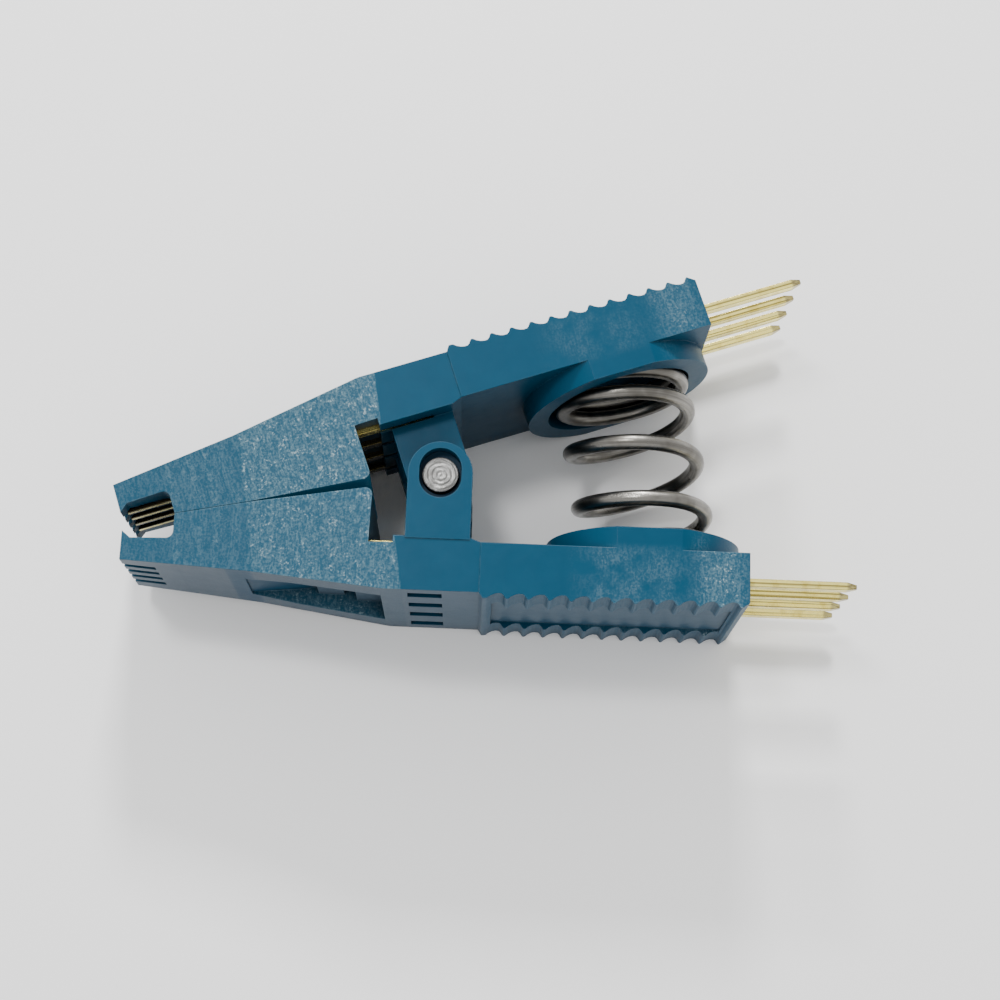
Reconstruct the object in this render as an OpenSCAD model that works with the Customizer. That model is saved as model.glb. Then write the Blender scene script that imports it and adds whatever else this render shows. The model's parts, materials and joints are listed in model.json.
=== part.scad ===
// IC test clip for an eight-lead small-outline chip, jaws closed, lying on its side.
// The hinge's axis runs along Z. Z = 0 is the side that the clip rests on, Y = 0 is the
// plane where the jaws meet, and X = 0 is halfway along the clip. Each arm is drawn in its
// own axes: s runs along the handle from the hinge towards the tail, and t runs from the
// hinge out to the arm's outer face.

/* [Arms] */
// Width of both arms at the hinge and the handles
body_w = 10.5; // [9.8:0.1:12]
// Angle between each handle and the plane where the jaws meet
arm_angle = 9.7; // [9:0.1:10.3]
// Hinge axis to the tail end of a handle
tail_l = 17.25; // [17.1:0.05:20]
// Hinge axis to the outer face of a handle
outer_t = 6.7; // [6.6:0.05:7.2]
// Thickness of a handle at its tail end
handle_thick = 2.82; // [2.5:0.02:3]
// Extra plastic inside the handle around the hinge ears
root_pad = 0.22; // [0:0.02:0.3]
// How far the sides around the hinge stand back from the sides of the handles
side_step = 0.05; // [0:0.01:0.2]

/* [Jaws] */
// Hinge axis to the tip of the nose
nose_l = 17.7; // [17:0.1:19]
// Width of the nose at its tip
nose_w = 6.6; // [6:0.1:8]
// Plastic outside the chip pocket at the tip
tip_thick = 1.27; // [1:0.01:1.6]
// Hinge axis to the knee, where the nose starts to swell faster
knee_l = 10.5; // [10:0.1:12]
// Hinge axis to the outer face at the knee
knee_t = 5.78; // [5.6:0.02:6]
// Width of the nose at the knee
knee_w = 8.3; // [7.8:0.1:9]
// Hinge axis to the shoulder, where nose and handle meet
shoulder_l = 2.85; // [2.7:0.05:3.4]
// Hinge axis to the rear wall of the nose block
block_l = 3.8; // [3.6:0.05:4.2]
// Length of the jaw faces that touch, behind the chip pocket
bite_l = 4.2; // [3:0.1:6]
// Gap between the jaw faces at the rear of the nose block
rear_gap = 0.5; // [0.2:0.05:0.8]
// Gap left between the closed jaws
bite_gap = 0.03; // [0.02:0.01:0.1]
// Radius of the rear corner of the jaw face
corner_r = 0.4; // [0.1:0.05:0.6]

/* [Chip pocket] */
// Length of the pocket that takes the chip
pocket_l = 2.92; // [2.4:0.02:3.4]
// Height of the lip that hooks under the chip's leads
lip_h = 0.4; // [0.2:0.02:0.5]
// Length of the slope behind the lip
lip_l = 0.48; // [0.3:0.02:0.8]
// Radius in the inner corner of the pocket
pocket_r = 0.4; // [0.1:0.05:0.6]
// Width of the slots in the tip, one over each contact
comb_slot_w = 0.6; // [0.5:0.02:0.8]
// Length of those slots
comb_slot_l = 1.85; // [1.4:0.05:2.4]

/* [Contacts] */
// Distance between contacts at the nose, which is the chip's lead pitch
lead_pitch = 1.27; // [1:0.01:1.27]
// Distance between posts at the tail
post_pitch = 2.54; // [2:0.01:2.6]
// Hinge axis to the inner edge of a contact
contact_t = 3.75; // [3.65:0.01:3.85]
// How far a contact stands out of the pocket's roof
contact_proud = 0.2; // [0.1:0.01:0.3]
// Thickness of the contact strip
strip_thick = 0.45; // [0.3:0.01:0.5]
// Width of the contact strip at the nose
lead_w = 0.42; // [0.3:0.02:0.46]
// Width of the contact strip at the tail
post_w = 0.6; // [0.4:0.02:0.7]
// Hinge axis to the middle of a tail post
post_t = 5.28; // [5.25:0.01:5.4]
// Length of a post outside the handle
post_l = 6.1; // [5:0.1:9]
// Length of the bevels at the post's end
post_bevel = 0.55; // [0.2:0.05:0.8]

/* [Hinge] */
// Diameter of the hinge pin
pin_d = 2; // [1.6:0.05:2.2]
// Radial clearance of the pin in the outer ears
pin_clear = 0.05; // [0.02:0.01:0.08]
// How far the pin's ends stand back from the side faces
pin_recess = 0.42; // [0.2:0.02:0.6]
// Width of a hinge ear
ear_w = 3.6; // [3.4:0.05:3.8]
// Thickness of an outer ear
outer_ear_thick = 1.3; // [1.2:0.05:1.4]
// Thickness of an inner ear
inner_ear_thick = 1.6; // [1:0.05:2]
// Side clearance between the ears
ear_gap = 0.1; // [0.05:0.01:0.2]
// Width of the sunk opening around the pin's end
sink_w = 2.35; // [2.3:0.01:2.5]
// Height of that opening
sink_h = 2.85; // [2.6:0.01:3]
// Depth of that opening
sink_depth = 0.8; // [0.65:0.01:0.9]

/* [Spring cups] */
// Hinge axis to the cup's axis
cup_s = 11.7; // [11.5:0.05:12]
// Outer diameter of a cup
cup_d = 11.1; // [10.7:0.1:11.4]
// Bore of a cup
cup_bore = 8.7; // [8.6:0.05:9]
// Height of a cup's rim above the inside of the handle
cup_rim_h = 1.22; // [0.8:0.02:1.6]
// Plastic between the cup's floor and the contacts
cup_floor = 0.5; // [0.3:0.02:0.6]

/* [Spring] */
// Diameter of the spring wire
wire_d = 0.9; // [0.7:0.02:0.94]
// Mean diameter of the coils
coil_d = 7.2; // [6.8:0.05:7.3]
// Number of turns, closed end turns included
spring_turns = 6; // [5:1:6]
// How far the middle of the spring stands towards the tail from its ends
spring_bow = 0.3; // [0:0.05:0.4]

/* [Grip] */
// Hinge axis to the front of the grip
grip_s = 2.4; // [2:0.05:3]
// Height of the grip's teeth
tooth_h = 0.32; // [0.15:0.01:0.4]
// Distance from tooth to tooth
tooth_pitch = 1.17; // [1:0.01:1.5]
// Width of each row of teeth
tooth_row_w = 2.4; // [1.5:0.1:3]
// Width of the bars across the grip's ends
grip_bar_w = 0.74; // [0.6:0.02:1]
// Depth of the smooth panel below the valleys of the teeth
panel_depth = 0.1; // [0:0.01:0.3]

/* [Openings in the outer face] */
// Hinge axis to the front end of the nose window
window_l = 11.4; // [10:0.1:12]
// Hinge axis to the rear end of the nose window
window_end_l = 3.05; // [3:0.05:4]
// Width of the window's front end
window_front_w = 3.5; // [2.5:0.1:4]
// Width of the window in its middle
window_mid_w = 5.6; // [4:0.1:6]
// Width of the window's rear end
window_rear_w = 6.6; // [5:0.1:7]
// Height of the window's floor above the plane where the jaws meet
window_floor_y = 3.72; // [3.7:0.01:3.8]
// Depth of the two bars across the window
window_bar_depth = 0.85; // [0.6:0.05:1]
// Width of those bars
window_bar_w = 1.5; // [1:0.05:1.6]
// Length of the four openings behind the window
slot_l = 1.9; // [1:0.05:2.2]
// Width of those openings
slot_w = 1; // [0.6:0.05:1.3]
// Hinge axis to the middle of those openings, towards the nose
slot_s = 0.6; // [0.4:0.05:0.8]

/* [Hidden] */
CONTACTS = 4;
$fn = 64;

// Overshoot of a cutting body, so that no cut ends flush with a face
over = 1;
// Levels of the arm, measured from the hinge axis
inner_t = outer_t - handle_thick;
root_t = inner_t - root_pad;
notch_t = contact_t + strip_thick * 0.7;
roof_t = contact_t + contact_proud;
lip_t = roof_t - lip_h;
tip_t = roof_t + tip_thick;
post_in_t = post_t - strip_thick / 2;
cup_floor_t = post_in_t - cup_floor;
cup_rim_t = inner_t - cup_rim_h;
panel_t = outer_t - panel_depth;
// Stations along the arm
pocket_s = pocket_l - nose_l;
notch_s = -ear_w / 2 - 0.65;
pad_end_s = ear_w / 2;
pad_ramp = 0.6;
lead_in = 0.28;
bend_s = grip_s - 1.2;
bend_l = 2.8;
fan_front_s = pocket_s + 0.9;
fan_rear_s = -block_l - 0.6;
// Layers across the width, measured from the middle plane
outer_ear_z = body_w / 2 - outer_ear_thick;
inner_ear_z = outer_ear_z - ear_gap;
pin_l = body_w - 2 * pin_recess;
ear_r = ear_w / 2;
ear_root = 0.12;
pin_r = pin_d / 2;

// A point given in an arm's own axes, in the frame of the whole clip
function at(s, t) = [s * cos(arm_angle) - t * sin(arm_angle),
                     s * sin(arm_angle) + t * cos(arm_angle)];
// Where a line of constant s meets a plane of constant height
function drop(s, y) = [(s - y * sin(arm_angle)) / cos(arm_angle), y];
// Points along a quarter round from one direction to another
function arc(c, r, a0, a1, n = 6) = [for (i = [0 : n]) let (a = a0 + (a1 - a0) * i / n)
                                     [c[0] + r * cos(a), c[1] + r * sin(a)]];
// Place of a contact across the width, at a given pitch
function row_z(i, pitch) = (i - (CONTACTS + 1) / 2) * pitch;

// Halfway between the tips and the ends of the posts
tip_x = at(-nose_l, tip_t)[0];
post_end_x = at(tail_l + post_l, post_in_t + strip_thick / 4)[0];
mid_x = (tip_x + post_end_x) / 2;

// Puts a body into an arm's own axes
module arm_axes() {
    rotate([0, 0, arm_angle])
        children();
}

// Moves a body from the hinge's axes to where the clip rests on its side
module rested() {
    translate([-mid_x, 0, body_w / 2])
        children();
}

// Extrudes an outline given in s and z along t, between two levels
module plan(t0, t1) {
    translate([0, t1, 0])
        rotate([90, 0, 0])
            linear_extrude(t1 - t0)
                children();
}

// A block between two stations, two levels and two layers, in an arm's axes
module slab(s0, s1, t0, t1, z0, z1) {
    translate([s0, t0, z0])
        cube([s1 - s0, t1 - t0, z1 - z0]);
}

// Side outline of an arm without its ears, cup and teeth
module arm_outline() {
    corner = drop(-block_l, rear_gap / 2);
    corner_c = corner + [-corner_r, corner_r];
    pocket_c = at(pocket_s - pocket_r, roof_t - pocket_r);
    bite_x = drop(pocket_s, 0)[0] + bite_l;
    polygon(concat(
        [at(-nose_l, tip_t), at(-knee_l, knee_t), at(-shoulder_l, outer_t),
         at(tail_l, outer_t), at(tail_l, inner_t), at(pad_end_s + pad_ramp, inner_t),
         at(pad_end_s, root_t), at(notch_s, root_t), at(notch_s, notch_t),
         at(-block_l, notch_t)],
        arc(corner_c, corner_r, 0, -90),
        [[bite_x, bite_gap / 2], drop(pocket_s, bite_gap / 2)],
        arc(pocket_c, pocket_r, arm_angle, arm_angle + 90),
        [at(lip_l - nose_l, roof_t), at(-nose_l, lip_t)]));
}

// Top outline of an arm: a nose that widens towards the hinge, then a straight handle
module arm_plan() {
    half = [[-nose_l - over, nose_w / 2 - (knee_w - nose_w) / 2 * over / (nose_l - knee_l)],
            [-knee_l, knee_w / 2], [-shoulder_l, body_w / 2 - side_step],
            [grip_s, body_w / 2 - side_step], [grip_s, body_w / 2], [tail_l, body_w / 2]];
    polygon(concat(half, [for (i = [len(half) - 1 : -1 : 0]) [half[i][0], -half[i][1]]]));
}

// One ridge of the grip and the valley behind it: a steep front and a hollow back
function tooth(s) = [for (p = [[0, 1], [0.08, 0.93], [0.22, 0.52], [0.4, 0.18], [0.58, 0.02],
                               [0.74, 0.04], [0.84, 0.3], [0.93, 0.82]])
                     [s + p[0] * tooth_pitch, outer_t + p[1] * tooth_h]];

// Side outline of the toothed rows, up to the bar at the tail
module tooth_outline() {
    first = grip_s + grip_bar_w / 2;
    last = tail_l - grip_bar_w / 2;
    count = floor((last - first) / tooth_pitch + 0.01);
    polygon(concat(
        [[grip_s, outer_t - over / 2], [grip_s, outer_t], [grip_s + 0.2, outer_t + tooth_h]],
        [for (i = [0 : count - 1]) each tooth(first + i * tooth_pitch)],
        [[first + count * tooth_pitch, outer_t + tooth_h], [tail_l, outer_t],
         [tail_l, outer_t - over / 2]]));
}

// The raised grip: two toothed rows and a bar at each end, around a smooth sunk panel
module grip() {
    row_z0 = body_w / 2 - tooth_row_w;
    panel_s0 = grip_s + grip_bar_w;
    panel_s1 = tail_l - grip_bar_w;
    difference() {
        linear_extrude(body_w, center = true)
            tooth_outline();
        linear_extrude(2 * row_z0, center = true)
            polygon([[panel_s0 - tooth_h / 2, outer_t + tooth_h + over], [panel_s0, panel_t],
                     [panel_s1, panel_t], [panel_s1 + tooth_h / 2, outer_t + tooth_h + over]]);
    }
}

// The sunk panel continues into the arm below the level of the teeth
module panel_cut() {
    row_z0 = body_w / 2 - tooth_row_w;
    slab(grip_s + grip_bar_w, tail_l - grip_bar_w, panel_t, outer_t + over, -row_z0, row_z0);
}

// The cup that holds one end of the spring
module cup() {
    translate([cup_s, cup_rim_t, 0])
        rotate([-90, 0, 0])
            cylinder(d = cup_d, h = inner_t + handle_thick / 2 - cup_rim_t, $fn = 96);
}

module cup_cut() {
    translate([cup_s, cup_rim_t - over, 0])
        rotate([-90, 0, 0])
            cylinder(d = cup_bore, h = cup_floor_t - cup_rim_t + over, $fn = 96);
}

// Window in the outer face of the nose, with a level floor and two bars across it
module window_cut() {
    intersection() {
        translate([0, window_floor_y, 0])
            linear_extrude(body_w, center = true)
                polygon([drop(-window_l, 0), drop(-window_l, outer_t), drop(-window_end_l, outer_t),
                         drop(-window_end_l, 0)]);
        arm_axes()
            plan(0, outer_t + over)
                polygon([[-window_l, -window_front_w / 2], [-window_l * 0.72, -window_mid_w / 2],
                         [-window_end_l, -window_rear_w / 2], [-window_end_l, window_rear_w / 2],
                         [-window_l * 0.72, window_mid_w / 2], [-window_l, window_front_w / 2]]);
    }
}

module window_bars() {
    bar_pitch = 1.5 * window_bar_w;
    for (i = [0 : 1]) {
        s0 = -window_end_l - 0.2 - window_bar_w - i * bar_pitch;
        t0 = knee_t + (outer_t - knee_t) * (knee_l + s0) / (knee_l - shoulder_l);
        slab(s0, s0 + window_bar_w, notch_t, t0 - window_bar_depth, -window_rear_w / 2 - 0.1,
             window_rear_w / 2 + 0.1);
    }
}

// Everything both arms share, before the ears and the contacts' places are made
module arm_blank() {
    difference() {
        arm_axes()
            intersection() {
                rotate([0, 0, -arm_angle])
                    linear_extrude(body_w, center = true)
                        arm_outline();
                plan(-nose_l, outer_t + over)
                    arm_plan();
            }
        window_cut();
    }
    arm_axes() {
        intersection() {
            cup();
            plan(0, outer_t)
                arm_plan();
        }
        grip();
        window_bars();
    }
}

// Openings over the contacts: the comb in the tip, the four behind the window, and the
// grooves beside the ears
module contact_windows() {
    for (i = [1 : CONTACTS]) {
        z_lead = row_z(i, lead_pitch);
        z_post = row_z(i, post_pitch);
        slab(-nose_l - over, comb_slot_l - nose_l, 0, tip_t + over,
             z_lead - comb_slot_w / 2, z_lead + comb_slot_w / 2);
        slab(-slot_s - slot_l / 2, -slot_s + slot_l / 2, contact_t + strip_thick,
             outer_t + over, z_post - slot_w / 2, z_post + slot_w / 2);
        slab(notch_s - over / 2, bend_s - 0.5, root_t - 0.05, contact_t,
             z_post - post_w / 2, z_post + post_w / 2);
    }
}

// One contact: a strip that runs straight from the nose past the hinge, steps outwards
// inside the handle and leaves its tail as a post, fanning out from lead to post pitch
module contact_body(i) {
    z_lead = row_z(i, lead_pitch);
    z_post = row_z(i, post_pitch);
    out_t = contact_t + strip_thick;
    post_out_t = post_in_t + strip_thick;
    tip_s = tail_l + post_l;
    lead_s = lead_in - nose_l;
    intersection() {
        linear_extrude(body_w, center = true)
            polygon([[lead_s, contact_t], [bend_s, contact_t], [bend_s + bend_l, post_in_t],
                     [tip_s - post_bevel, post_in_t], [tip_s, post_in_t + strip_thick / 4],
                     [tip_s, post_out_t - strip_thick / 4], [tip_s - post_bevel, post_out_t],
                     [bend_s + bend_l, post_out_t], [bend_s, out_t], [lead_s, out_t]]);
        plan(contact_t - over, post_out_t + over)
            polygon([[lead_s, z_lead - lead_w / 2], [fan_front_s, z_lead - lead_w / 2],
                     [fan_rear_s, z_post - post_w / 2], [tip_s - post_bevel, z_post - post_w / 2],
                     [tip_s, z_post - post_w / 4], [tip_s, z_post + post_w / 4],
                     [tip_s - post_bevel, z_post + post_w / 2], [fan_rear_s, z_post + post_w / 2],
                     [fan_front_s, z_lead + lead_w / 2], [lead_s, z_lead + lead_w / 2]]);
    }
}

// Side outline of a hinge ear, from around the pin to just inside the handle
module ear_outline() {
    circle(r = ear_r);
    translate([-ear_r, 0])
        square([ear_w, root_t + ear_root]);
}

// Two ears, one on each side, between two layers
module ear_pair(z0, z1) {
    for (side = [0, 1])
        mirror([0, 0, side])
            translate([0, 0, z0])
                linear_extrude(z1 - z0)
                    ear_outline();
}

// The sunk opening in the outer face of an outer ear
module sink() {
    reach = (sink_h - sink_w) / 2;
    translate([0, 0, body_w / 2 - sink_depth])
        linear_extrude(sink_depth + over) {
            translate([0, reach])
                circle(d = sink_w);
            translate([0, -reach])
                circle(d = sink_w);
            translate([-sink_w / 2, -reach])
                square([sink_w, 2 * reach]);
        }
}

// An upper arm with its cuts; the children are its ears
module arm() {
    difference() {
        union() {
            arm_blank();
            arm_axes()
                children();
        }
        arm_axes() {
            cup_cut();
            panel_cut();
            contact_windows();
            for (i = [1 : CONTACTS])
                contact_body(i);
        }
    }
}

module upper_body() {
    color([0.14, 0.38, 0.5])
        rested()
            difference() {
                arm()
                    ear_pair(inner_ear_z - inner_ear_thick, inner_ear_z);
                cylinder(r = pin_r, h = body_w, center = true);
            }
}

module lower_body() {
    color([0.14, 0.38, 0.5])
        rested()
            mirror([0, 1, 0])
                difference() {
                    arm()
                        ear_pair(outer_ear_z, body_w / 2);
                    cylinder(r = pin_r + pin_clear, h = body_w + over, center = true);
                    arm_axes()
                        for (side = [0, 1])
                            mirror([0, 0, side])
                                sink();
                }
}

module hinge_pin() {
    color([0.72, 0.73, 0.75])
        rested()
            cylinder(r = pin_r, h = pin_l, center = true);
}

module upper_contact(i) {
    color([0.83, 0.76, 0.5])
        rested()
            arm_axes()
                contact_body(i);
}

module lower_contact(i) {
    color([0.83, 0.76, 0.5])
        rested()
            mirror([0, 1, 0])
                arm_axes()
                    contact_body(i);
}

// The spring's wire, as a path down from the upper cup to the lower one. The turns at
// both ends lie close together and the ones between are open.
STEPS = 24;
SIDES = 8;
coil_r = coil_d / 2;
wire_r = wire_d / 2;
cup_play = (cup_bore - coil_d - wire_d) / 2;
seat_x = at(cup_s + 0.9 * cup_play, cup_floor_t - wire_r)[0];
touch_x = seat_x - coil_r;
seat_gap = 0.02;
seat_y = (cup_floor_t + touch_x * sin(arm_angle) - wire_r) / cos(arm_angle) - seat_gap;
path_n = spring_turns * STEPS;
close_step = wire_d * 1.02 / STEPS;
// How open the spring is at a step, from 0 in the closed end turns to 1 in the middle
function openness(i) = let (turn = min(i, path_n - i) / STEPS,
                            f = min(1, max(0, (turn - 0.9) / 1.6)))
                       f * f * (3 - 2 * f);
open_sum = [for (i = 0, sum = 0; i <= path_n; sum = sum + openness(i + 0.5), i = i + 1) sum];
start_y = seat_y + close_step * STEPS / 2;
open_step = (2 * start_y - close_step * path_n) / open_sum[path_n];
function wire_y(i) = start_y - close_step * i - open_step * open_sum[i];
function wire_x(i) = seat_x + spring_bow * (1 - pow(wire_y(i) / start_y, 4));
function wire_point(i) = let (a = 360 * i / STEPS)
                         [wire_x(i) + coil_r * cos(a), wire_y(i), -coil_r * sin(a)];
function unit(v) = v / norm(v);
function ring(i) = let (a = 360 * i / STEPS, out = [cos(a), 0, -sin(a)], p = wire_point(i),
                        along = unit(wire_point(min(i + 1, path_n)) - wire_point(max(i - 1, 0))),
                        up = unit(cross(along, out)))
                   [for (j = [0 : SIDES - 1]) let (b = 360 * j / SIDES)
                    p + wire_r * (cos(b) * unit(cross(up, along)) + sin(b) * up)];

module spring() {
    rings = [for (i = [0 : path_n]) each ring(i)];
    walls = [for (i = [0 : path_n - 1]) for (j = [0 : SIDES - 1]) let (k = (j + 1) % SIDES)
             [i * SIDES + j, (i + 1) * SIDES + j, (i + 1) * SIDES + k, i * SIDES + k]];
    front = [[for (j = [0 : SIDES - 1]) j]];
    back = [[for (j = [SIDES - 1 : -1 : 0]) path_n * SIDES + j]];
    color([0.5, 0.5, 0.5])
        rested()
            polyhedron(points = rings, faces = concat(walls, front, back));
}

lower_body();
upper_body();
hinge_pin();
spring();
lower_contact(1);  // lower_contact_1
lower_contact(2);  // lower_contact_2
lower_contact(3);  // lower_contact_3
lower_contact(4);  // lower_contact_4
upper_contact(1);  // upper_contact_1
upper_contact(2);  // upper_contact_2
upper_contact(3);  // upper_contact_3
upper_contact(4);  // upper_contact_4
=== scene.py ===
import json
import math

import bpy
from mathutils import Matrix, Vector


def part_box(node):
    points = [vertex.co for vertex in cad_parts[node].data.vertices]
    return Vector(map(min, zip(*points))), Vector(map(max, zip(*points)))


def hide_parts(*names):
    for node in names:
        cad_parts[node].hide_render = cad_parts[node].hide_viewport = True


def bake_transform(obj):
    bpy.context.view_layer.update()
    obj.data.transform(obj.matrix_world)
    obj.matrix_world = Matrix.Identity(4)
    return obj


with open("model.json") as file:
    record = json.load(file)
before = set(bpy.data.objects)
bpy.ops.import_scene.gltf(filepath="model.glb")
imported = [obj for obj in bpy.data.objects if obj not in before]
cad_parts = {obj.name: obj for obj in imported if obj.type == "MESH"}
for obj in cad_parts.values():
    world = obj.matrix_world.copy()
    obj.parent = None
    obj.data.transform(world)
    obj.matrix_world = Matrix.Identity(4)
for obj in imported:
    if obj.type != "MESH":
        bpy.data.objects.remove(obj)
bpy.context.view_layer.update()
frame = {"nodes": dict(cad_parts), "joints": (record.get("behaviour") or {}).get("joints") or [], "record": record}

bl_info = {
    "name": "IC Test Clip",
    "version": (1, 0, 0),
    "blender": (4, 5, 0),
    "location": "3D View > Sidebar > Test Clip",
    "description": "Finishes, coil spring and studio for a spring-loaded clip for small-outline chips",
    "category": "Object",
}

MM = 0.001

# The hinge's axis and the slope of the handles, as the frame gives them.
HINGE = Vector(frame["joints"][0]["pos_m"])
POSTS = next(m for m in frame["record"]["mounts"] if m["name"] == "upper_posts")
ARM_ANGLE = math.atan2(POSTS["axis"][1], POSTS["axis"][0])
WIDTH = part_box("lower_body")[1].z
BODIES = ("lower_body", "upper_body")
CONTACTS = sorted(name for name in frame["nodes"] if "contact" in name)

# Stations on the nose in millimetres, along the plane where the jaws meet from the hinge.
TIP_END = -15.3
FRONT_END = -10.95
BLOCK_END = -2.95
WINDOW_ENDS = (-12.5, -3.4)
BITE_ENDS = (-15.2, -2.9)

# Stations in millimetres along the handle's slope from the hinge.
POCKET_REAR = -14.6
NOTCH_ENDS = (-4.2, 2.2)
HAZE_ENDS = (8.2, 13.6)
TAIL_ENDS = (14.5, 16.95)
POST_POINT = 22.72

# Millimetres from the plane where the jaws meet, between which the window's floor lies.
WINDOW_FLOOR = (3.0, 4.0)

# Millimetres from the hinge's axis to the handle's outer face, square to the slope.
OUTER_FACE = 6.7

# Millimetres between the contacts in the nose.
LEAD_PITCH = 1.27

# Shades that the finishes mix into their colours.
PAINTED_GLINT_SPECK = (0.50, 0.60, 0.63)
PAINTED_EDGE_HIGHLIGHT = (0.16, 0.27, 0.32)
PAINTED_CORNER_SHADE = (0.002, 0.012, 0.028)
PAINTED_BITE_GLOW = (0.002, 0.022, 0.040)
STEEL_DIRT = (0.16, 0.155, 0.14)
STEEL_MARK = (0.16, 0.16, 0.155)
STEEL_SWEEP = (0.12, 0.12, 0.115)
STEEL_RIM = (0.04, 0.04, 0.04)
GOLD_CLOUD = (0.55, 0.42, 0.08)
GOLD_LINE = (0.16, 0.115, 0.025)
GOLD_END = (0.24, 0.20, 0.13)
GOLD_NOSE_SHADE = (0.025, 0.020, 0.012)
GOLD_SHADE = (0.02, 0.018, 0.015)
GOLD_EDGE = (0.16, 0.12, 0.04)
WIRE_LINE = (0.10, 0.095, 0.085)
WIRE_OIL = (0.06, 0.055, 0.045)

# Points on each turn of the coil and round the wire.
STEPS = 64
WIRE_SIDES = 20

# Pitch of the closed turns in wire thicknesses.
CLOSED_PITCH = 1.02

# Places and sizes of the two lights in metres, and the lamp's share of the key light's power.
KEY_PLACE = Vector((0.035, 0.26, 0.16))
KEY_SIZE = 0.045
LAMP_PLACE = Vector((-0.07, 0.10, 0.30))
LAMP_SIZE = 0.05
LAMP_SHARE = 0.35

# The camera's right and back directions, its place and the shift of its picture.
CAMERA_RIGHT = Vector((0.9912, -0.1312, 0.0155))
CAMERA_BACK = Vector((-0.0498, -0.2625, 0.9637))
CAMERA_PLACE = Vector((HINGE.x - 2.27 * MM, -29.5 * MM, WIDTH / 2 + 108.87 * MM))
CAMERA_SHIFT = (0.0015, -0.0124)


# ---------------------------------------------------------------- sizes and colours

class SpringSizes(bpy.types.PropertyGroup):
    """Sizes of the coil spring that its box in the frame doesn't give."""

    wire: bpy.props.FloatProperty(
        name="Wire", description="Diameter of the spring wire",
        default=0.9 * MM, min=0.3 * MM, max=1.2 * MM, precision=5, unit="LENGTH")
    turns: bpy.props.IntProperty(
        name="Turns", description="Number of turns, closed end turns included",
        default=6, min=4, max=8)
    closed: bpy.props.FloatProperty(
        name="Closed turns", description="Turns at each end that lie close together",
        default=0.9, min=0.5, max=1.5)
    opening: bpy.props.FloatProperty(
        name="Opening turns", description="Turns over which the pitch grows to that of the middle",
        default=1.6, min=0.5, max=2.0)
    bow: bpy.props.FloatProperty(
        name="Bow", description="How far the middle stands towards the tail from the ends",
        default=0.3 * MM, min=0.0, max=0.5 * MM, precision=5, unit="LENGTH")


class FinishColours(bpy.types.PropertyGroup):
    """Colours of the clip's plastic and metals."""

    plastic: bpy.props.FloatVectorProperty(
        name="Plastic", description="The moulded arms where they are smooth",
        default=(0.002, 0.048, 0.092), size=3, min=0.0, max=1.0, subtype="COLOR")
    # Also painted as shade on the window's floor.
    plastic_deep_and_shade: bpy.props.FloatVectorProperty(
        name="Plastic shade", description="Slightly deeper clouds in the smooth plastic",
        default=(0.001, 0.034, 0.070), size=3, min=0.0, max=1.0, subtype="COLOR")
    plastic_haze: bpy.props.FloatVectorProperty(
        name="Hazy plastic", description="The ground of the spark-eroded zones",
        default=(0.040, 0.105, 0.150), size=3, min=0.0, max=1.0, subtype="COLOR")
    plastic_dust: bpy.props.FloatVectorProperty(
        name="Rough plastic", description="The pale streaks and grains of those zones",
        default=(0.13, 0.22, 0.26), size=3, min=0.0, max=1.0, subtype="COLOR")
    # Painted on the outer faces as a grey reflection of the floor.
    plastic_grey_reflection: bpy.props.FloatVectorProperty(
        name="Outer faces", description="The greyer outer faces of the arms",
        default=(0.060, 0.078, 0.100), size=3, min=0.0, max=1.0, subtype="COLOR")
    gold: bpy.props.FloatVectorProperty(
        name="Gold plate", description="The contacts and their posts",
        default=(1.0, 0.88, 0.28), size=3, min=0.0, max=1.0, subtype="COLOR")
    steel: bpy.props.FloatVectorProperty(
        name="Pin steel", description="The hinge pin",
        default=(0.25, 0.25, 0.245), size=3, min=0.0, max=1.0, subtype="COLOR")
    wire: bpy.props.FloatVectorProperty(
        name="Spring steel", description="The spring wire",
        default=(0.25, 0.24, 0.22), size=3, min=0.0, max=1.0, subtype="COLOR")


class StageSettings(bpy.types.PropertyGroup):
    """The floor, lights and camera."""

    floor: bpy.props.FloatVectorProperty(
        name="Floor", description="Colour of the floor",
        default=(0.93, 0.93, 0.93), size=3, min=0.0, max=1.0, subtype="COLOR")
    key: bpy.props.FloatProperty(
        name="Key light", description="Power of the key light", default=1.15, min=0.0,
        unit="POWER")
    sky: bpy.props.FloatProperty(
        name="Surroundings", description="Strength of the even light from all round",
        default=1.15, min=0.0)
    lens: bpy.props.FloatProperty(
        name="Focal length", description="Focal length on a sensor 36 mm wide",
        default=69.86, min=20.0, max=200.0)


# ---------------------------------------------------------------- node trees

class Value:
    """A socket of a node tree. Python's operators on it add Math nodes."""

    def __init__(self, nodes, socket):
        self.nodes = nodes
        self.socket = socket

    def math(self, operation, *others):
        """What a Math node makes of this value and others."""
        return self.nodes.add("ShaderNodeMath", {"operation": operation}, self, *others)

    def __add__(self, other):
        return self.math("ADD", other)

    def __radd__(self, other):
        return self.math("ADD", other)

    def __sub__(self, other):
        return self.math("SUBTRACT", other)

    def __rsub__(self, other):
        return self.nodes.add("ShaderNodeMath", {"operation": "SUBTRACT"}, other, self)

    def __mul__(self, other):
        return self.math("MULTIPLY", other)

    def __rmul__(self, other):
        return self.math("MULTIPLY", other)

    def __truediv__(self, other):
        return self.math("DIVIDE", other)

    def __pow__(self, other):
        return self.math("POWER", other)

    def __abs__(self):
        return self.math("ABSOLUTE")

    def step(self, low, high):
        """0 below low, 1 above high and smooth between, or falling where low is above high."""
        if low > high:
            return 1.0 - self.step(high, low)
        return self.nodes.add("ShaderNodeMapRange", {"interpolation_type": "SMOOTHSTEP"},
                              self, low, high, 0.0, 1.0)

    def band(self, low, high, edge):
        """1 between low and high, 0 outside, with soft edges."""
        return self.step(low - edge, low + edge) * self.step(high + edge, high - edge)


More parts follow.
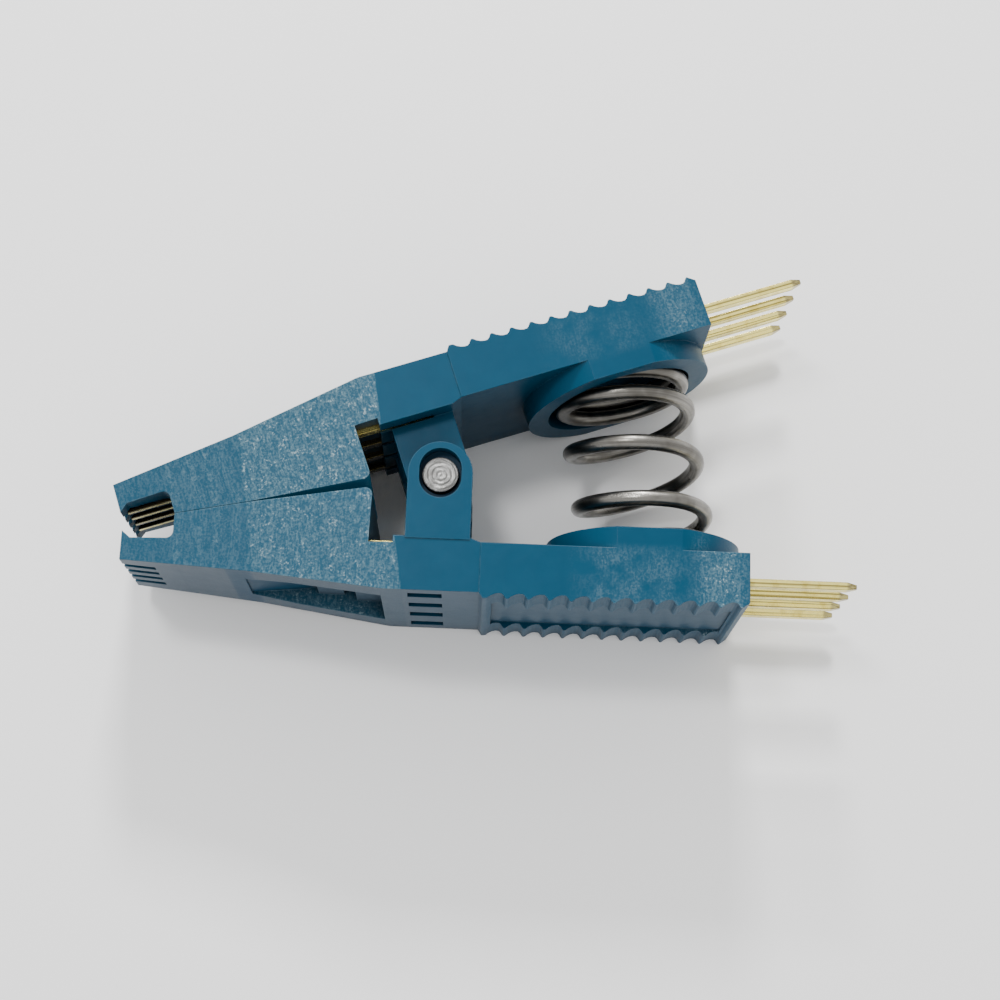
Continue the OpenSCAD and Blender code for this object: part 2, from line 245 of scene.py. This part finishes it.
class Builder:
    """Adds nodes to a tree and joins them."""

    def __init__(self, tree):
        self.tree = tree

    def add(self, kind, settings=None, *values, out=0, **named):
        """A node of a kind, with its settings and the values or links of its sockets."""
        node = self.tree.nodes.new(kind)
        for key, value in (settings or {}).items():
            setattr(node, key, value)
        for key, value in enumerate(values):
            self.join(value, node.inputs[key])
        for key, value in named.items():
            self.join(value, node.inputs[key.replace("_", " ")])
        return Value(self, node.outputs[out])

    def join(self, value, socket):
        """Links a value to a socket, or sets the socket to a constant."""
        if isinstance(value, Value):
            self.tree.links.new(value.socket, socket)
        elif value is not None:
            socket.default_value = value


class Nodes(Builder):
    """Builds one material's node tree."""

    def __init__(self, name):
        self.material = bpy.data.materials.new(name)
        self.material.use_nodes = True
        super().__init__(self.material.node_tree)
        self.shader = self.tree.nodes["Principled BSDF"]

    def split(self, vector):
        """The three parts of a vector."""
        node = self.tree.nodes.new("ShaderNodeSeparateXYZ")
        self.join(vector, node.inputs[0])
        return [Value(self, output) for output in node.outputs]

    def vector(self, x, y, z):
        """A vector of three parts."""
        return self.add("ShaderNodeCombineXYZ", None, x, y, z)

    def place(self):
        """The place on the piece, in metres."""
        return self.add("ShaderNodeTexCoord", None, out="Object")

    def normal(self):
        """The face's own direction."""
        return self.add("ShaderNodeNewGeometry", None, out="Normal")

    def noise(self, at, size, detail=3.0, rough=0.55, warp=0.0):
        """Noise with lumps of about the given size in metres."""
        return self.add("ShaderNodeTexNoise", None, out="Fac", Vector=at, Scale=1.0 / size,
                        Detail=detail, Roughness=rough, Distortion=warp)

    def mix(self, share, first, second):
        """A colour that goes from the first to the second as the share goes from 0 to 1."""
        node = self.tree.nodes.new("ShaderNodeMix")
        node.data_type = "RGBA"
        self.join(share, node.inputs["Factor"])
        for key, colour in (("A", first), ("B", second)):
            socket = next(s for s in node.inputs if s.name == key and s.type == "RGBA")
            self.join(colour if isinstance(colour, Value) else (*colour, 1.0), socket)
        return Value(self, next(s for s in node.outputs if s.type == "RGBA"))

    def bump(self, height, distance, strength, normal=None):
        """Normals that follow a height over those given."""
        return self.add("ShaderNodeBump", None, Strength=strength, Distance=distance,
                        Height=height, Normal=normal)

    def soften(self, radius):
        """Normals that round the sharp edges off."""
        return self.add("ShaderNodeBevel", {"samples": 6}, Radius=radius)

    def turn(self, radius):
        """How far the softened normal leans from the face's own: 0 away from edges."""
        return 1.0 - self.add("ShaderNodeVectorMath", {"operation": "DOT_PRODUCT"},
                              self.soften(radius), self.normal(), out="Value")

    def finish(self, **inputs):
        """Sets the shader's sockets and gives the material."""
        for key, value in inputs.items():
            self.join(value, self.shader.inputs[key.replace("_", " ")])
        return self.material


def arm_axes(nodes):
    """Stations in millimetres on the arms: along the middle plane from the hinge, along the
    handle from the hinge, out from the hinge, and across the width from the middle."""
    x, y, z = nodes.split(nodes.place())
    across = (x - HINGE.x) / MM
    off = abs(y) / MM
    along = across * math.cos(ARM_ANGLE) + off * math.sin(ARM_ANGLE)
    out = off * math.cos(ARM_ANGLE) - across * math.sin(ARM_ANGLE)
    width = z / MM - WIDTH / MM / 2
    return across, along, out, width


# ---------------------------------------------------------------- finishes

def plastic_finish(colours):
    """Moulded plastic: smooth round the hinge and on the handles, spark-eroded on the nose
    and towards the tail, with painted highlights on its edges and painted shade in its corners."""
    n = Nodes("arm_plastic")
    at = n.place()
    across, along, out, width = arm_axes(n)
    rise = n.split(at)[1]
    off = abs(rise) / MM
    upper = rise.step(-0.1 * MM, 0.1 * MM)

    # Which faces these are: the arm's sides, its outer face, the teeth and the window's floor.
    facing = abs(n.split(n.normal())[2])
    side = facing.step(0.75, 0.9)
    edge_on = 1.0 - facing.step(0.25, 0.6)
    outer = edge_on * out.step(4.2, 5.0)
    teeth = outer * out.step(OUTER_FACE - 0.08, OUTER_FACE + 0.02) * along.step(2.6, 3.0)
    window = edge_on * off.band(*WINDOW_FLOOR, 0.05) * across.band(*WINDOW_ENDS, 0.1)

    # Tool marks run across the arm, so the streaks are long that way and thin along it.
    streak = n.noise(n.vector(along / 0.15, out / 0.6, width * 2.0), 1.0, 3.0, 0.7, 0.6)
    comb = n.noise(n.vector(along / 0.55, out * 0.05, width * 0.05), 1.0, 3.0, 0.7)
    grain = n.noise(at, 0.13 * MM, 2.0, 0.6)
    fine = n.noise(at, 0.06 * MM, 2.0, 0.6)
    cloud = n.noise(at, 1.5 * MM, 3.0, 0.6)
    blotch = n.noise(at, 0.55 * MM, 4.0, 0.7)

    # How rough each stretch of the arm is, from the tip to the tail.
    tip = across.step(TIP_END + 0.1, TIP_END - 0.05)
    front = across.band(TIP_END, FRONT_END, 0.06)
    block = across.band(FRONT_END, BLOCK_END, 0.06)
    haze = along.band(*HAZE_ENDS, 1.3) * cloud.step(0.30, 0.60) * side * out.step(3.5, 4.3)
    haze = haze * (1.0 - upper * 0.5)
    tail = along.band(*TAIL_ENDS, 0.9) * side * out.step(1.5, 4.5) * (1.0 - upper * 0.35)
    nose = tip * 0.35 + front * (0.35 + comb.step(0.35, 0.65) * 0.35) + block
    nose = nose * (1.0 - window * 0.8) * (0.82 + upper * 0.18)
    rough = (nose * (0.4 + side * 0.6) + haze * 0.45 + tail * 0.95).math("MINIMUM", 1.0)

    # Rough stretches are paler, with dust, and with pale specks painted as glints.
    sheen = streak * 0.46 + grain * 0.42 + blotch * 0.12
    dust = sheen.step(0.42, 0.62) * rough
    glint_speck = (blotch * 0.55 + grain * 0.45).step(0.56, 0.66) * rough * rough
    glint_speck = glint_speck * (0.20 + tail * 0.60 + block * 0.40)
    colour = n.mix(cloud.step(0.3, 0.7) * 0.25, colours.plastic, colours.plastic_deep_and_shade)
    colour = n.mix(rough * 0.36, colour, colours.plastic_haze)
    colour = n.mix(dust * 0.56, colour, colours.plastic_dust)
    colour = n.mix(glint_speck * 0.70, colour, PAINTED_GLINT_SPECK)

    # The outer faces get a painted grey reflection of the floor, most of all on the nose, and the window's floor
    # gets painted shade.
    fade = along.step(16.0, -9.0).math("MAXIMUM", 0.5)
    grey = (outer - teeth * 0.85) * (0.62 + blotch * 0.3) * fade
    colour = n.mix(grey, colour, colours.plastic_grey_reflection)
    colour = n.mix(window * 0.85, colour, colours.plastic_deep_and_shade)

    # Sharp edges get a pale painted highlight; corners that light doesn't reach get painted shade.
    edge_highlight = n.turn(0.11 * MM).step(0.015, 0.10)
    edge_highlight = edge_highlight * (0.3 + cloud.step(0.40, 0.60)) * (0.35 + rough * 0.65) * (1.0 - teeth * 0.85)
    colour = n.mix(edge_highlight * 0.34, colour, PAINTED_EDGE_HIGHLIGHT)
    # Painted shade darkens the corners and recesses.
    open_air = n.add("ShaderNodeAmbientOcclusion", {"samples": 8}, out="AO", Distance=2.2 * MM)
    colour = n.mix((1.0 - open_air).step(0.12, 0.95) * 0.85, colour, PAINTED_CORNER_SHADE)

    # A faint blue glow is painted on the bite faces, so the slit between the jaws reads dark blue.
    bite = facing.step(0.3, 0.2) * off.step(0.62, 0.56) * across.band(*BITE_ENDS, 0.1)
    bite_glow = n.mix(bite, (0.0, 0.0, 0.0), PAINTED_BITE_GLOW)

    height = sheen * (0.08 + rough * 0.9) + fine * (0.05 + rough * 0.4) + cloud * 0.6
    return n.finish(
        Base_Color=colour,
        Roughness=0.36 + rough * 0.16 + cloud * 0.08,
        Normal=n.bump(height, 0.035 * MM, 0.9, n.soften(0.06 * MM)),
        Emission_Color=bite_glow,
        Emission_Strength=1.0,
        Specular_IOR_Level=0.11)


def pin_finish(colours):
    """Turned steel: concentric tool marks on the pin's ends."""
    n = Nodes("pin_steel")
    at = n.place()
    x, y, _ = n.split(at)
    x = (x - HINGE.x) / MM
    y = (y - HINGE.y) / MM
    ring = (x ** 2.0 + y ** 2.0) ** 0.5
    wobble = n.noise(at, 0.4 * MM, 3.0)
    marks = (ring * 24.0 + wobble * 3.0).math("SINE")
    sweep = n.noise(n.vector(x, y, 0.0), 1.1, 3.0, 0.6, 0.8)
    dirt = n.noise(at, 0.22 * MM, 4.0, 0.7)
    colour = n.mix(dirt.step(0.45, 0.72) * 0.6, colours.steel, STEEL_DIRT)
    colour = n.mix(marks.step(0.0, 0.8) * 0.35, colour, STEEL_MARK)
    colour = n.mix(sweep.step(0.47, 0.56) * 0.65, colour, STEEL_SWEEP)
    colour = n.mix(ring.step(0.86, 0.97) * 0.9, colour, STEEL_RIM)
    return n.finish(
        Base_Color=colour,
        Metallic=1.0,
        Roughness=0.24 + dirt * 0.2,
        Normal=n.bump(marks * 0.5 + dirt * 1.2, 0.03 * MM, 0.8, n.soften(0.09 * MM)))


def gold_finish(colours):
    """Thin gold plate on stamped strip, with lines along it and dull ends. In the nose painted
    shade darkens the strips except along their middles, and behind the nose painted shade darkens them."""
    n = Nodes("contact_gold")
    at = n.place()
    _, along, out, width = arm_axes(n)
    lines = n.noise(n.vector(along * 0.03, out * 7.0, width * 7.0), 1.0, 3.0, 0.6)
    spots = n.noise(at, 0.7 * MM, 4.0, 0.65)
    colour = n.mix(spots.step(0.46, 0.66) * 0.55, colours.gold, GOLD_CLOUD)
    colour = n.mix(lines.step(0.49, 0.58) * 0.80, colour, GOLD_LINE)
    end = along.step(POST_POINT, POST_POINT + 0.18)
    colour = n.mix(end * 0.6, colour, GOLD_END)
    # Painted shade on the strips in the nose, away from their middles.
    lane = abs((width / LEAD_PITCH).math("FRACT") - 0.5) * LEAD_PITCH
    nose = along.step(POCKET_REAR, POCKET_REAR - 0.2)
    colour = n.mix(nose * lane.step(0.05, 0.12), colour, GOLD_NOSE_SHADE)
    # Painted shade on the contacts in the notch behind the nose, and on their side faces there.
    side = abs(n.split(n.normal())[2]).step(0.5, 0.8)
    shade = along.band(*NOTCH_ENDS, 0.1) * width.step(3.1, 2.9).math("MAXIMUM", side * 0.6)
    colour = n.mix(shade * 0.95, colour, GOLD_SHADE)
    colour = n.mix(n.turn(0.10 * MM).step(0.01, 0.10) * 0.6, colour, GOLD_EDGE)
    return n.finish(
        Base_Color=colour,
        Metallic=1.0,
        Roughness=0.20 + spots * 0.14,
        Normal=n.bump(lines, 0.03 * MM, 0.6, n.soften(0.06 * MM)))


def wire_finish(colours):
    """Drawn spring steel, with lines along the wire and darker oiled stretches."""
    n = Nodes("spring_wire")
    length = n.add("ShaderNodeAttribute", {"attribute_name": "along"}, out="Fac")
    turn = n.add("ShaderNodeAttribute", {"attribute_name": "around"}, out="Fac") * 2.0 * math.pi
    skin = n.vector(length * 0.10, turn.math("COSINE") * 2.6, turn.math("SINE") * 2.6)
    drawn = n.noise(skin, 1.0, 4.0, 0.65)
    oil = n.noise(n.place(), 2.0 * MM, 3.0, 0.6)
    pits = n.noise(n.place(), 0.22 * MM, 3.0, 0.65)
    colour = n.mix(drawn.step(0.38, 0.62) * 0.65, colours.wire, WIRE_LINE)
    colour = n.mix(oil.step(0.42, 0.62) * 0.5, colour, WIRE_OIL)
    return n.finish(
        Base_Color=colour,
        Metallic=1.0,
        Roughness=0.19 + oil * 0.12 + pits * 0.10,
        Normal=n.bump(drawn + pits * 0.5, 0.02 * MM, 0.7))


def plain_finish(name, colour, rough):
    """One even colour."""
    n = Nodes(name)
    return n.finish(Base_Color=(*colour, 1.0), Roughness=rough)


def coat(obj, material):
    """Gives an object one material."""
    obj.data.materials.clear()
    obj.data.materials.append(material)


# ---------------------------------------------------------------- spring

class Tree(Builder):
    """Builds one Geometry Nodes tree."""

    def __init__(self, name, sockets):
        super().__init__(bpy.data.node_groups.new(name, "GeometryNodeTree"))
        for label, kind in sockets:
            self.tree.interface.new_socket(label, in_out="INPUT", socket_type=kind)
        self.tree.interface.new_socket("Mesh", in_out="OUTPUT", socket_type="NodeSocketGeometry")
        self.inputs = self.tree.nodes.new("NodeGroupInput")
        self.result = self.tree.nodes.new("NodeGroupOutput")

    def given(self, label):
        """The value of one of the tree's inputs."""
        return Value(self, self.inputs.outputs[label])

    def store(self, geometry, name, value):
        """Keeps a number on the points of a curve, for the material to read."""
        return self.add("GeometryNodeStoreNamedAttribute", {"data_type": "FLOAT"},
                        Geometry=geometry, Name=name, Value=value)

    def modifier(self, obj, values):
        """Puts the tree on an object and sets its inputs by their identifiers."""
        modifier = obj.modifiers.new(self.tree.name, "NODES")
        modifier.node_group = self.tree
        for item in self.tree.interface.items_tree:
            if item.item_type == "SOCKET" and item.name in values:
                modifier[item.identifier] = values[item.name]


def spring_tree():
    """A wire swept along a coil whose turns lie close at both ends and open in the middle."""
    t = Tree("coil_spring", [
        ("Turns", "NodeSocketInt"), ("Coil Radius", "NodeSocketFloat"),
        ("Wire Radius", "NodeSocketFloat"), ("Half Length", "NodeSocketFloat"),
        ("Close Pitch", "NodeSocketFloat"), ("Open Pitch", "NodeSocketFloat"),
        ("Closed Turns", "NodeSocketFloat"), ("Opening Turns", "NodeSocketFloat"),
        ("Bow", "NodeSocketFloat"), ("Middle X", "NodeSocketFloat"),
        ("Middle Z", "NodeSocketFloat"), ("Finish", "NodeSocketMaterial")])
    turns, radius = t.given("Turns"), t.given("Coil Radius")
    ramp, half = t.given("Opening Turns"), t.given("Half Length")
    turn = t.add("GeometryNodeInputIndex") / STEPS
    near = turn.math("MINIMUM", turns - turn)
    share = ((near - t.given("Closed Turns")) / ramp).math("MINIMUM", 1.0).math("MAXIMUM", 0.0)
    opened = ramp * (share ** 3.0 - share ** 4.0 * 0.5)
    opened = opened + (near - t.given("Closed Turns") - ramp).math("MAXIMUM", 0.0)
    fallen = near * t.given("Close Pitch") + opened * t.given("Open Pitch")
    side = (turns * 0.5 - turn).math("SIGN")
    y = side * (half - fallen)
    angle = turn * 2.0 * math.pi
    lean = 1.0 - (y / half) ** 4.0
    x = t.given("Middle X") - t.given("Bow") * (1.0 - lean) + radius * angle.math("COSINE")
    z = t.given("Middle Z") - radius * angle.math("SINE")
    line = t.add("GeometryNodeMeshLine", None, Count=turns * STEPS + 1.0)
    path = t.add("GeometryNodeMeshToCurve", None, line)
    path = t.add("GeometryNodeSetPosition", None, path,
                 Position=t.add("ShaderNodeCombineXYZ", None, x, y, z))
    path = t.store(path, "along", turn * 2.0 * math.pi * radius / MM)
    ring = t.add("GeometryNodeCurvePrimitiveCircle", None, Resolution=WIRE_SIDES,
                 Radius=t.given("Wire Radius"))
    ring = t.store(ring, "around", t.add("GeometryNodeInputIndex") / WIRE_SIDES)
    wire = t.add("GeometryNodeCurveToMesh", None, path, Profile_Curve=ring, Fill_Caps=True)
    wire = t.add("GeometryNodeRealizeInstances", None, wire)
    wire = t.add("GeometryNodeSetMaterial", None, wire, Material=t.given("Finish"))
    t.join(wire, t.result.inputs[0])
    return t


def opened_turns(turns, closed, opening):
    """The sum over half a spring of how open its turns are."""
    return opening / 2 + max(0.0, turns / 2 - closed - opening)


def plain_mesh(host, name):
    """What an object's modifiers make of it, as an object of its own."""
    seen = bpy.context.evaluated_depsgraph_get()
    mesh = bpy.data.meshes.new_from_object(host.evaluated_get(seen), depsgraph=seen)
    mesh.name = name
    obj = bpy.data.objects.new(name, mesh)
    bpy.context.scene.collection.objects.link(obj)
    bpy.data.objects.remove(host)
    return obj


# ---------------------------------------------------------------- operators

class CLIP_OT_finish_arms(bpy.types.Operator):
    """Give both moulded arms their plastic"""

    bl_idname = "clip.finish_arms"
    bl_label = "Finish arms"

    def execute(self, context):
        material = plastic_finish(context.scene.clip_colours)
        for name in BODIES:
            coat(frame["nodes"][name], material)
        return {"FINISHED"}


class CLIP_OT_finish_pin(bpy.types.Operator):
    """Give the hinge pin its turned steel"""

    bl_idname = "clip.finish_pin"
    bl_label = "Finish hinge pin"

    def execute(self, context):
        coat(frame["nodes"]["hinge_pin"], pin_finish(context.scene.clip_colours))
        return {"FINISHED"}


class CLIP_OT_finish_contacts(bpy.types.Operator):
    """Give the contacts their gold plate"""

    bl_idname = "clip.finish_contacts"
    bl_label = "Finish contacts"

    def execute(self, context):
        material = gold_finish(context.scene.clip_colours)
        for name in CONTACTS:
            coat(frame["nodes"][name], material)
        return {"FINISHED"}


class CLIP_OT_make_spring(bpy.types.Operator):
    """Wind the spring between the two cups"""

    bl_idname = "clip.make_spring"
    bl_label = "Wind spring"

    def execute(self, context):
        sizes = context.scene.clip_spring
        low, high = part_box("spring")
        wire = sizes.wire / 2
        coil = (high.z - low.z) / 2 - wire
        half = (high.y - low.y) / 2 - wire
        close = sizes.wire * CLOSED_PITCH
        opened = opened_turns(sizes.turns, sizes.closed, sizes.opening)
        centre = Vector((high.x - coil - wire, 0.0, (low.z + high.z) / 2))
        host = bpy.data.objects.new("spring_host", bpy.data.meshes.new("spring_host"))
        context.scene.collection.objects.link(host)
        spring_tree().modifier(host, {
            "Turns": sizes.turns, "Coil Radius": coil, "Wire Radius": wire,
            "Half Length": half, "Close Pitch": close,
            "Open Pitch": (half - close * sizes.turns / 2) / opened,
            "Closed Turns": sizes.closed, "Opening Turns": sizes.opening,
            "Bow": sizes.bow, "Middle X": centre.x, "Middle Z": centre.z,
            "Finish": wire_finish(context.scene.clip_colours)})
        spring = plain_mesh(host, "coil_spring")
        spring.data.shade_smooth()
        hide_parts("spring")
        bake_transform(spring)
        return {"FINISHED"}


class CLIP_OT_build_stage(bpy.types.Operator):
    """Lay the floor, hang the lights and set the camera"""

    bl_idname = "clip.build_stage"
    bl_label = "Build stage"

    def execute(self, context):
        stage = context.scene.clip_stage
        bpy.ops.mesh.primitive_plane_add(size=4.0)
        floor = context.object
        floor.name = "floor"
        coat(floor, plain_finish("floor_paint", stage.floor, 0.55))
        self.light(context, "key_light", stage.key, KEY_SIZE, KEY_PLACE)
        self.light(context, "lamp", stage.key * LAMP_SHARE, LAMP_SIZE, LAMP_PLACE)
        world = bpy.data.worlds.new("surroundings")
        world.use_nodes = True
        world.node_tree.nodes["Background"].inputs["Color"].default_value = (1.0, 1.0, 1.0, 1.0)
        world.node_tree.nodes["Background"].inputs["Strength"].default_value = stage.sky
        context.scene.world = world
        self.camera(context, stage.lens)
        return {"FINISHED"}

    def light(self, context, name, power, size, place):
        """A square soft light that shines on the clip."""
        lamp = bpy.data.lights.new(name, "AREA")
        lamp.energy = power
        lamp.size = size
        holder = bpy.data.objects.new(name, lamp)
        context.scene.collection.objects.link(holder)
        holder.location = place
        holder.rotation_euler = (-place).to_track_quat("-Z", "Y").to_euler()

    def camera(self, context, lens):
        """A camera above the clip's side, a little towards the lower arm."""
        back = CAMERA_BACK.normalized()
        up = back.cross(CAMERA_RIGHT).normalized()
        right = up.cross(back)
        data = bpy.data.cameras.new("camera")
        data.lens = lens
        data.sensor_width = 36.0
        data.clip_start = 0.005
        data.shift_x, data.shift_y = CAMERA_SHIFT
        camera = bpy.data.objects.new("camera", data)
        context.scene.collection.objects.link(camera)
        camera.matrix_world = Matrix.Translation(CAMERA_PLACE) @ Matrix(
            (right, up, back)).transposed().to_4x4()
        context.scene.camera = camera


class CLIP_PT_panel(bpy.types.Panel):
    """Lists the clip's colours, sizes and steps"""

    bl_idname = "CLIP_PT_panel"
    bl_label = "Test Clip"
    bl_space_type = "VIEW_3D"
    bl_region_type = "UI"
    bl_category = "Test Clip"

    def draw(self, context):
        for group in (context.scene.clip_colours, context.scene.clip_spring,
                      context.scene.clip_stage):
            box = self.layout.box()
            for name in group.__annotations__:
                box.prop(group, name)
        for step in STEPS_IN_ORDER:
            self.layout.operator(step.bl_idname)


STEPS_IN_ORDER = (CLIP_OT_finish_arms, CLIP_OT_finish_pin, CLIP_OT_finish_contacts,
                  CLIP_OT_make_spring, CLIP_OT_build_stage)
CLASSES = (SpringSizes, FinishColours, StageSettings, *STEPS_IN_ORDER, CLIP_PT_panel)


def register():
    """Registers the classes and puts their settings on the scene."""
    for cls in CLASSES:
        bpy.utils.register_class(cls)
    bpy.types.Scene.clip_spring = bpy.props.PointerProperty(type=SpringSizes)
    bpy.types.Scene.clip_colours = bpy.props.PointerProperty(type=FinishColours)
    bpy.types.Scene.clip_stage = bpy.props.PointerProperty(type=StageSettings)


def unregister():
    """Takes the settings and classes away again."""
    del bpy.types.Scene.clip_stage
    del bpy.types.Scene.clip_colours
    del bpy.types.Scene.clip_spring
    for cls in reversed(CLASSES):
        bpy.utils.unregister_class(cls)


def main():
    """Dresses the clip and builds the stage."""
    register()
    bpy.ops.clip.finish_arms()
    bpy.ops.clip.finish_pin()
    bpy.ops.clip.finish_contacts()
    bpy.ops.clip.make_spring()
    bpy.ops.clip.build_stage()


if __name__ == "__main__":
    main()
